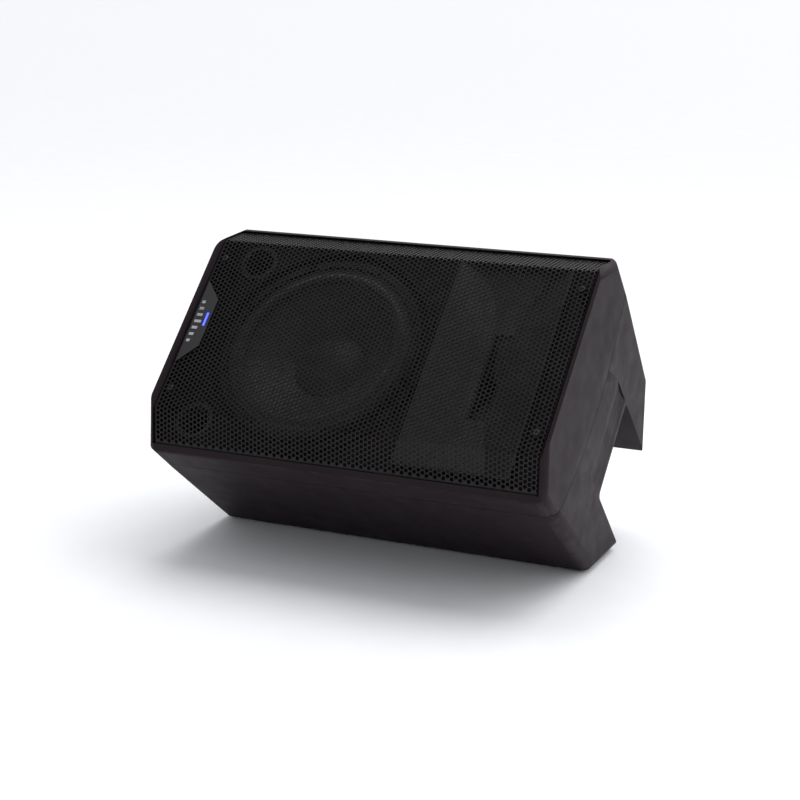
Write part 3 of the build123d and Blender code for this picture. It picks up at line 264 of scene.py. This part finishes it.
# name: colour, roughness, and what differs further
MOULDED = {
    "cabinet_plastic": ((0.0165, 0.0108, 0.0138), 0.5),
    "handle_plastic": ((0.02, 0.018, 0.019), 0.5, dict(wear=0.4)),
}
# name: colour, strength
GLOWING = {
    "led_blue": ((0.03, 0.05, 1.0), 6.0),
    "led_green": ((0.05, 0.8, 0.12), 1.6),
}
FINISHES = {}
for name, (colour, rough, metallic, grain, *extra) in PLAIN.items():
    FINISHES[name] = finish_of(name, colour, rough, metallic, grain, **dict(*extra))
for name, (colour, rough, *extra) in MOULDED.items():
    FINISHES[name] = moulded(name, colour, rough, **dict(*extra))
for name, (colour, strength) in GLOWING.items():
    FINISHES[name] = glowing(name, colour, strength)
print_white = finish_of("print_white", (0.62, 0.62, 0.62), 0.5, 0.0, ("Noise", 1500.0, 0.02))

slot_of = {s["node"]: s["material_slot"] for s in frame["record"]["subparts"]}
for name, node in NODES.items():
    node.data.materials.clear()
    node.data.materials.append(FINISHES[slot_of[name]])


# ---- mesh helpers --------------------------------------------------------------------------
WELD_REACH = 0.02            # mm
EDGE_ANGLE = 40.0            # degrees; flatter edges stay as they are


def piece(name, points, faces, material, body, replaced=(), smooth=True, sharp=35.0):
    """A mesh from points in the cabinet's frame."""
    mesh = bpy.data.meshes.new(name)
    mesh.from_pydata([at(*p) for p in points], [], faces)
    mesh.materials.append(material)
    mesh.validate()
    obj = bpy.data.objects.new(name, mesh)
    bpy.context.collection.objects.link(obj)
    if smooth:
        mesh.shade_smooth()
        mesh.set_sharp_from_angle(angle=math.radians(sharp))
    if body:
        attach(obj, body)
    if replaced:
        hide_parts(*replaced)
    return obj


def rings_mesh(rings):
    """Points and faces of a closed skin over rings with equal counts, capped at both ends."""
    count = len(rings[0])
    points = [p for ring in rings for p in ring]
    faces = []
    for i in range(len(rings) - 1):
        for j in range(count):
            k = (j + 1) % count
            a, b = i * count, (i + 1) * count
            faces.append((a + j, a + k, b + k, b + j))
    faces.append(tuple(reversed(range(count))))
    faces.append(tuple(range((len(rings) - 1) * count, len(rings) * count)))
    return points, faces


def soften(obj, width):
    """Join the CAD mesh's doubled points and round its hard edges."""
    weld = obj.modifiers.new("joined", "WELD")
    weld.merge_threshold = WELD_REACH * MM
    edges = obj.modifiers.new("edges", "BEVEL")
    edges.width = width * MM
    edges.segments = 2
    edges.limit_method = "ANGLE"
    edges.angle_limit = math.radians(EDGE_ANGLE)
    edges.harden_normals = True


# ---- perforated grille ---------------------------------------------------------------------
HOLE_PITCH = 6.0
HOLE_FLATS = 4.55
SHEET = 1.3
GRILLE_DEPTH = 3.0
FOLD_Y = 124.86
FOLD_TURN = math.atan2(37.5, 42.0)
FOLD_RADIUS = 3.2
GRILLE_EDGE_Y = 159.7
GRILLE_END_X = 250.2
END_RADIUS = 2.6
END_FLANGE = 5.5
EDGE_LAND = 1.6


def across_sheet(v):
    """Height, depth and lean of the folded sheet at a distance across it from its middle line."""
    side, v = (1 if v >= 0 else -1), abs(v)
    flat = FOLD_Y - FOLD_RADIUS * math.tan(FOLD_TURN / 2)
    lean = min(max((v - flat) / FOLD_RADIUS, 0.0), FOLD_TURN)
    rest = max(v - flat - FOLD_RADIUS * FOLD_TURN, 0.0)
    y = min(v, flat) + FOLD_RADIUS * math.sin(lean) + rest * math.cos(FOLD_TURN)
    depth = GRILLE_DEPTH + FOLD_RADIUS * (1 - math.cos(lean)) + rest * math.sin(FOLD_TURN)
    return side * y, depth, side * lean


def along_sheet(u):
    """Place along the cabinet, drop and turn at a distance along the sheet."""
    side, u = (1 if u >= 0 else -1), abs(u)
    start = GRILLE_END_X - END_RADIUS
    turn = min(max((u - start) / END_RADIUS, 0.0), math.pi / 2)
    rest = max(u - start - END_RADIUS * math.pi / 2, 0.0)
    x = min(u, start) + END_RADIUS * math.sin(turn)
    return side * x, END_RADIUS * (1 - math.cos(turn)) + rest, side * turn


def sheet_point(u, v, back):
    """A point of the bent sheet, a distance behind its outer face."""
    y, depth, lean = across_sheet(v)
    x, drop, turn = along_sheet(u)
    drop += back * math.cos(turn)
    return (x - back * math.sin(turn), y - drop * math.sin(lean), depth + drop * math.cos(lean))


def grille_mesh():
    """The flat sheet's holes, lands and borders, bent into shape and given its thickness."""
    column = HOLE_PITCH * math.sqrt(3) / 2
    outer = HOLE_PITCH / math.sqrt(3)
    inner = HOLE_FLATS / math.sqrt(3)
    half_u = GRILLE_END_X - END_RADIUS + END_RADIUS * math.pi / 2 + END_FLANGE
    flat = FOLD_Y - FOLD_RADIUS * math.tan(FOLD_TURN / 2)
    slope_start = across_sheet(flat + FOLD_RADIUS * FOLD_TURN)[0]
    half_v = flat + FOLD_RADIUS * FOLD_TURN + (GRILLE_EDGE_Y - slope_start) / math.cos(FOLD_TURN)
    columns = 2 * int((half_u - EDGE_LAND - outer) / column) + 1
    rows = int(2 * (half_v - EDGE_LAND) / HOLE_PITCH)
    columns -= 2 * ((columns // 2) % 2)
    flat_points, index = [], {}

    def corner(u, v):
        key = (round(u, 3), round(v, 3))
        if key not in index:
            index[key] = len(flat_points)
            flat_points.append((u, v))
        return index[key]

    turns = [math.radians(60 * k) for k in range(6)]
    cells = []
    for i in range(columns):
        u = (i - (columns - 1) / 2) * column
        count = rows if i % 2 == 0 else rows - 1
        for j in range(count):
            v = (j - (count - 1) / 2) * HOLE_PITCH
            rim = [corner(u + outer * math.cos(t), v + outer * math.sin(t)) for t in turns]
            hole = [len(flat_points) + k for k in range(6)]
            flat_points.extend((u + inner * math.cos(t), v + inner * math.sin(t)) for t in turns)
            cells.append((rim, hole))
    faces = []
    holes = []
    for rim, hole in cells:
        for k in range(6):
            m = (k + 1) % 6
            faces.append((rim[k], rim[m], hole[m], hole[k]))
            holes.append((hole[k], hole[m]))
    top = (rows / 2) * HOLE_PITCH
    left_u = -(columns - 1) / 2 * column
    side_line = []
    for j in range(rows):
        v = (j - (rows - 1) / 2) * HOLE_PITCH
        side_line += [(left_u - outer / 2, v - HOLE_PITCH / 2), (left_u - outer, v)]
    side_line.append((left_u - outer / 2, top))
    for sign in (-1, 1):
        near = [corner(-sign * u, v) for u, v in side_line]
        far = [corner(sign * half_u, v) for u, v in side_line]
        for k in range(len(near) - 1):
            quad = (near[k], near[k + 1], far[k + 1], far[k])
            faces.append(quad if sign < 0 else tuple(reversed(quad)))
    crest = []
    for i in range(columns):
        u = (i - (columns - 1) / 2) * column
        high = top if i % 2 == 0 else top - HOLE_PITCH / 2
        crest += [(u - outer / 2, high), (u + outer / 2, high)]
    ends = [(-half_u, top)] + crest + [(half_u, top)]
    for sign in (-1, 1):
        near = [corner(u, sign * v) for u, v in ends]
        far = [corner(u, sign * half_v) for u, v in ends]
        for k in range(len(near) - 1):
            quad = (near[k], near[k + 1], far[k + 1], far[k])
            faces.append(quad if sign > 0 else tuple(reversed(quad)))
    count = len(flat_points)
    points = [sheet_point(u, v, 0.0) for u, v in flat_points]
    points += [sheet_point(u, v, SHEET) for u, v in flat_points]
    solid = [tuple(f) for f in faces] + [tuple(i + count for i in reversed(f)) for f in faces]
    solid += [(a, b, b + count, a + count) for a, b in holes]
    used = dict.fromkeys((a, b) for f in faces for a, b in zip(f, f[1:] + f[:1]))
    hole_edges = {frozenset(e) for e in holes}
    for a, b in used:
        if (b, a) not in used and frozenset((a, b)) not in hole_edges:
            solid.append((b, a, a + count, b + count))
    return points, solid


points, faces = grille_mesh()
piece("perforated_grille", points, faces, FINISHES["grille_steel"], "cabinet",
      ["grille"], sharp=28.0)


# ---- woofer surround and spider ------------------------------------------------------------
def thickened(line, thickness):
    """A closed outline a thickness across, around an open line of (radius, depth) points."""
    front, back = [], []
    for i, (r, n) in enumerate(line):
        ahead, behind = line[min(i + 1, len(line) - 1)], line[max(i - 1, 0)]
        dr, dn = ahead[0] - behind[0], ahead[1] - behind[1]
        scale = thickness / 2 / math.hypot(dr, dn)
        front.append((r - dn * scale, n + dr * scale))
        back.append((r + dn * scale, n - dr * scale))
    return front + back[::-1]


def cloth_ring(name, node, line, thickness):
    """A cloth ring in sectors, made in place of the CAD node."""
    x, y, depth = middle_of(node)
    half = math.pi / RING_SECTORS
    outline = thickened(line, thickness)
    for sector in range(RING_SECTORS):
        turn = 2 * half * sector
        rings = []
        for k in range(SECTOR_STEPS + 1):
            a = turn + half * (2 * k / SECTOR_STEPS - 1)
            rings.append([(x + r * math.cos(a), y + r * math.sin(a), n) for r, n in outline])
        points, faces = rings_mesh(rings)
        obj = piece(f"{name}_{sector + 1:02d}", points, faces, FINISHES[slot_of[node]], None,
                    [node])
        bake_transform(obj)


RING_SECTORS = 16
SECTOR_STEPS = 8
ROLL_MIDDLE, ROLL_RADIUS, ROLL_BASE, ROLL_STEPS = 104.4, 6.6, 39.0, 16
ROLL_START, ROLL_TURN = 35, 145                # degrees round the roll, from the rim to the cone
SURROUND_THICKNESS, ROLL_OUT, ROLL_IN = 0.9, 111.0, 97.6
RIM_LINE = [(118.2, 35.5), (112.6, 35.5)]      # glued to the basket
LIP_LINE = [(96.2, 39.9), (94.0, 41.1)]        # glued to the cone
roll_line = list(RIM_LINE)
for k in range(ROLL_STEPS + 1):
    a = math.radians(ROLL_START + ROLL_TURN * k / ROLL_STEPS)
    roll_line.append((ROLL_MIDDLE + ROLL_RADIUS * math.cos(a), ROLL_BASE - ROLL_RADIUS * math.sin(a)))
roll_line += LIP_LINE
cloth_ring("surround", "woofer_surround", roll_line, SURROUND_THICKNESS)

SPIDER_IN, SPIDER_OUT, SPIDER_LAND, SPIDER_DEPTH = 33.8, 73.0, 9.0, 97.1
SPIDER_WAVES, WAVE_STEPS, WAVE_HALF_HEIGHT, SPIDER_THICKNESS, COIL_LAND = 6, 8, 0.75, 0.7, 1.0
spider_line = []
for k in range(SPIDER_WAVES * WAVE_STEPS + 1):
    share = k / (SPIDER_WAVES * WAVE_STEPS)
    r = SPIDER_IN + (SPIDER_OUT - SPIDER_LAND - SPIDER_IN) * share
    wave = WAVE_HALF_HEIGHT * (1 - math.cos(2 * math.pi * SPIDER_WAVES * share))
    spider_line.append((r, SPIDER_DEPTH - wave))
spider_line.append((SPIDER_OUT, SPIDER_DEPTH))
cloth_ring("spider", "woofer_spider", spider_line[::-1], SPIDER_THICKNESS)


# ---- horn ----------------------------------------------------------------------------------
HORN_HALF, HORN_END, HORN_LIP = 70.5, 142.0, 31.0
SLOT_HALF, SLOT_END, FAN_OPENING = 12.7, 60.0, 0.38
THROAT_RADIUS, THROAT_DEPTH, THROAT_RINGS = 12.7, 102.0, 8
FAN_START = 72.0             # where the fan starts to open wider than the slot
WALL_SLOPE = 0.5
WALL_STEPS, FAN_STEPS, FAN_STATIONS, SLOT_STATIONS = 4, 6, 10, 16
FRAME_WIDTH, FRAME_BACK, HORN_WALL = 3.0, 39.5, 2.2
SLACK = 0.01                 # mm, for finding the stations at the slot's ends


def horn_mesh():
    """Slanted side walls, a fan above and below the slot, and the slot's run to a round throat."""
    x0 = middle_of("horn_waveguide")[0]
    ys = [-HORN_END + (HORN_END - SLOT_END) * k / FAN_STATIONS for k in range(FAN_STATIONS)]
    ys += ([-SLOT_END + SLOT_END * 2 * k / SLOT_STATIONS for k in range(SLOT_STATIONS + 1)]
           + [-y for y in reversed(ys)])
    points, faces = [], []

    def put(*p):
        points.append(p)
        return len(points) - 1

    def half_fan(y):
        return max(SLOT_HALF, SLOT_HALF + FAN_OPENING * (abs(y) - FAN_START))

    walls = {}
    for side in (-1, 1):
        rows = []
        for y in ys:
            w = half_fan(y)
            outer = (x0 + side * (HORN_HALF + FRAME_WIDTH), y, HORN_LIP)
            skirt = (outer[0], y, FRAME_BACK)
            lip = (x0 + side * HORN_HALF, y, HORN_LIP)
            low = (x0 + side * w, y, HORN_LIP + WALL_SLOPE * (HORN_HALF - w))
            middle = [tuple(a + (b - a) * k / WALL_STEPS for a, b in zip(lip, low))
                      for k in range(1, WALL_STEPS)]
            rows.append([put(*p) for p in (skirt, outer, lip, *middle, low)])
        for a, b in zip(rows, rows[1:]):
            for k in range(len(a) - 1):
                quad = (a[k], b[k], b[k + 1], a[k + 1])
                faces.append(quad if side < 0 else quad[::-1])
        walls[side] = rows
    across = [k / FAN_STEPS for k in range(1, FAN_STEPS)]
    fans = []
    for i, y in enumerate(ys):
        if abs(y) < SLOT_END - SLACK:
            fans.append(None)
            continue
        left, right = points[walls[-1][i][-1]], points[walls[1][i][-1]]
        inner = [put(*(a + (b - a) * t for a, b in zip(left, right))) for t in across]
        fans.append([walls[-1][i][-1]] + inner + [walls[1][i][-1]])
    for a, b in zip(fans, fans[1:]):
        if a and b:
            for k in range(len(a) - 1):
                faces.append((a[k], b[k], b[k + 1], a[k + 1]))
    inside = [i for i, y in enumerate(ys) if abs(y) <= SLOT_END + SLACK]
    loop = [walls[1][i][-1] for i in inside] + fans[inside[-1]][-2:0:-1]
    loop += [walls[-1][i][-1] for i in reversed(inside)] + fans[inside[0]][1:-1]
    before = loop
    for ring in range(1, THROAT_RINGS + 1):
        t = ring / THROAT_RINGS
        ease = t * t * (3 - 2 * t)
        fresh = []
        for index in loop:
            x, y, n = points[index]
            a = math.atan2(y / SLOT_END, (x - x0) / SLOT_HALF)
            round_x, round_y = THROAT_RADIUS * math.cos(a), THROAT_RADIUS * math.sin(a)
            fresh.append(put(x + (x0 + round_x - x) * ease, y + (round_y - y) * ease,
                             n + (THROAT_DEPTH - n) * t))
        for k in range(len(loop)):
            m = (k + 1) % len(loop)
            faces.append((before[k], fresh[k], fresh[m], before[m]))
        before = fresh
    for i, sign in ((0, -1), (len(ys) - 1, 1)):
        left, right = walls[-1][i], walls[1][i]
        y = ys[i] + sign * FRAME_WIDTH
        edge_left, edge_right = [put(points[row[1]][0], y, HORN_LIP) for row in (left, right)]
        foot_left, foot_right = [put(points[row[1]][0], y, FRAME_BACK) for row in (left, right)]
        end = [left[2], *left[3:], *fans[i][1:-1], *reversed(right[3:]), right[2]]
        quads = [tuple(end), (left[1], left[2], right[2], right[1], edge_right, edge_left),
                 (edge_left, edge_right, foot_right, foot_left),
                 (left[0], left[1], edge_left, foot_left), (right[1], right[0], foot_right, edge_right)]
        faces += quads if sign < 0 else [q[::-1] for q in quads]
    return points, faces


points, faces = horn_mesh()
horn = piece("horn_flare", points, faces, FINISHES["horn_plastic"], "cabinet",
             ["horn_waveguide"], sharp=25.0)
bm = bmesh.new()
bm.from_mesh(horn.data)
bmesh.ops.recalc_face_normals(bm, faces=bm.faces)
bm.to_mesh(horn.data)
bm.free()
walls = horn.modifiers.new("walls", "SOLIDIFY")
walls.thickness = HORN_WALL * MM
walls.offset = -1.0


# ---- rear panel: pointers and printing -----------------------------------------------------
def slab_points(x, y, half_x, half_y, low, high, turn=0.0):
    c, s = math.cos(turn), math.sin(turn)
    flat = [(x + dx * c - dy * s, y + dx * s + dy * c)
            for dx, dy in ((-half_x, -half_y), (half_x, -half_y), (half_x, half_y), (-half_x, half_y))]
    return [(px, py, n) for n in (low, high) for px, py in flat]


SLAB_FACES = [(0, 1, 2, 3), (7, 6, 5, 4), (0, 4, 5, 1), (1, 5, 6, 2), (2, 6, 7, 3), (3, 7, 4, 0)]


def extent(node):
    """Lowest and highest corner of a CAD node in the cabinet's own frame."""
    spots = [local(v.co) for v in NODES[node].data.vertices]
    return [tuple(pick(p[i] for p in spots) for i in range(3)) for pick in (min, max)]


def slabs(name, boxes, material, body):
    points, faces = [], []
    for box in boxes:
        start = len(points)
        points += slab_points(*box)
        faces += [tuple(start + i for i in f) for f in SLAB_FACES]
    return piece(name, points, faces, material, body, smooth=False)


PRINT_SINK, PRINT = 0.02, 0.06           # mm into the panel and above it
LINE_HALF, TICK_HALF, SOCKET_MARGIN = 0.25, 0.22, 1.6
TICKS, TICK_ANGLE, KNOB_TURN, TICK_GAP = 11, 30, 150, 1.8
LONG_TICK, SHORT_TICK, LONG_EVERY = 1.5, 1.0, 5      # half lengths, and how often a long one comes
BUTTON_MARK, BUTTON_MARK_GAP = 2.6, 2.6
POINTER_PLACE, POINTER_LENGTH = 0.55, 0.36           # shares of the knob's radius
POINTER_HALF, POINTER_SINK, POINTER_RISE = 0.45, 0.1, 0.15
panel_face = extent("amp_panel")[1][2]
marks = []


def mark(x, y, half_x, half_y, turn=0.0):
    marks.append((x, y, half_x, half_y, panel_face - PRINT_SINK, panel_face + PRINT, turn))


for knob in ("gain_knob_1", "master_knob", "gain_knob_2"):
    lo, hi = extent(knob)
    x, y = (lo[0] + hi[0]) / 2, (lo[1] + hi[1]) / 2
    radius = (hi[0] - lo[0]) / 2
    pointer = (x - radius * POINTER_PLACE, y, radius * POINTER_LENGTH, POINTER_HALF,
               hi[2] - POINTER_SINK, hi[2] + POINTER_RISE)
    slabs(f"{knob}_pointer", [pointer], print_white, knob)
    for step in range(TICKS):
        a = math.radians(180 + KNOB_TURN - TICK_ANGLE * step)
        long = LONG_TICK if step % LONG_EVERY == 0 else SHORT_TICK
        r = radius + TICK_GAP + long
        mark(x + r * math.cos(a), y + r * math.sin(a), long, TICK_HALF, a)
for node in ("input_socket_1", "input_socket_2", "link_socket", "power_inlet", "rocker_frame"):
    lo, hi = extent(node)
    x, y = (lo[0] + hi[0]) / 2, (lo[1] + hi[1]) / 2
    half_x, half_y = (hi[0] - lo[0]) / 2 + SOCKET_MARGIN, (hi[1] - lo[1]) / 2 + SOCKET_MARGIN
    for sign in (-1, 1):
        mark(x, y + sign * half_y, half_x, LINE_HALF)
        mark(x + sign * half_x, y, LINE_HALF, half_y)
for node in ("voicing_button", "ground_button"):
    lo, hi = extent(node)
    mark((lo[0] + hi[0]) / 2, hi[1] + BUTTON_MARK_GAP, BUTTON_MARK, LINE_HALF)
slabs("panel_print", marks, print_white, "cabinet")

# ---- softened edges on the hard parts ------------------------------------------------------
EDGE_WIDTHS = {
    0.6: ("front_moulding", "rear_shell"),
    0.4: ("base_feet", "wedge_pads", "handle_cup", "pole_socket"),
    0.25: ("amp_panel", "badge_plate", "gain_knob_1", "master_knob", "gain_knob_2", "power_inlet",
           "fuse_drawer", "rocker_frame", "power_rocker", "input_socket_1", "input_socket_2",
           "link_socket", "voicing_button", "ground_button"),
    0.15: ("badge_emblem", "power_led_lens", "heat_sink", "grille_screws"),
}
for width, names in EDGE_WIDTHS.items():
    for name in names:
        soften(NODES[name], width)


# ---- camera, light, floor ------------------------------------------------------------------
LENS = 81.75
CAMERA_FROM_FACE = (0.9305, -1.8829, 0.4711)     # metres, from the middle of the face
CAMERA_DOWN, CAMERA_ROUND = 14.58, 25.33         # degrees
camera_data = bpy.data.cameras.new("camera")
camera_data.sensor_width = 36.0
camera_data.lens = LENS
camera = bpy.data.objects.new("camera", camera_data)
camera.location = ORIGIN + Vector(CAMERA_FROM_FACE)
camera.rotation_euler = (math.radians(90 - CAMERA_DOWN), 0, math.radians(CAMERA_ROUND))
bpy.context.collection.objects.link(camera)
bpy.context.scene.camera = camera

OVERHEAD_POWER, SIDE_POWER = 18, 7       # watts
SKY_STRENGTH, SKY_WIDTH = 1.8, 75        # width in degrees, for a soft shadow
SURROUND_STRENGTH = 0.6
world = bpy.data.worlds.new("studio")
bpy.context.scene.world = world
world.use_nodes = True
world.node_tree.nodes["Background"].inputs["Color"].default_value = (0.95, 0.97, 1.0, 1)
world.node_tree.nodes["Background"].inputs["Strength"].default_value = SURROUND_STRENGTH


def softbox(name, place, target, size, power):
    data = bpy.data.lights.new(name, "AREA")
    data.shape = "RECTANGLE"
    data.size, data.size_y = size
    data.energy = power
    lamp = bpy.data.objects.new(name, data)
    lamp.location = place
    lamp.rotation_euler = (Vector(target) - Vector(place)).to_track_quat("-Z", "Y").to_euler()
    bpy.context.collection.objects.link(lamp)


centre = (0, 0, 0.2)
softbox("overhead", (0.1, 0.7, 2.4), centre, (2.4, 1.4), OVERHEAD_POWER)
softbox("right_side", (2.4, -0.3, 1.3), centre, (1.2, 1.6), SIDE_POWER)

sky = bpy.data.lights.new("high_rear", "SUN")
sky.energy = SKY_STRENGTH
sky.angle = math.radians(SKY_WIDTH)
sky_lamp = bpy.data.objects.new("high_rear", sky)
sky_lamp.rotation_euler = Vector((0.2, 0.6, 0.8)).to_track_quat("Z", "Y").to_euler()
bpy.context.collection.objects.link(sky_lamp)

FLOOR, FLOOR_GAP = 60.0, 0.0005      # metres, from the middle to each side and below the feet
floor_mesh = bpy.data.meshes.new("floor")
corners = [(x * FLOOR, y * FLOOR, 0) for x, y in ((-1, -1), (1, -1), (1, 1), (-1, 1))]
floor_mesh.from_pydata(corners, [], [(0, 1, 2, 3)])
floor = bpy.data.objects.new("floor", floor_mesh)
floor.location.z = -FLOOR_GAP
bpy.context.collection.objects.link(floor)
floor_mesh.materials.append(finish_of("floor_white", (0.93, 0.935, 0.95), 0.6, 0.0,
                                      ("Noise", 300.0, 0.02), vary=0.01, specular=0.2))
bpy.context.scene.view_settings.view_transform = "Standard"
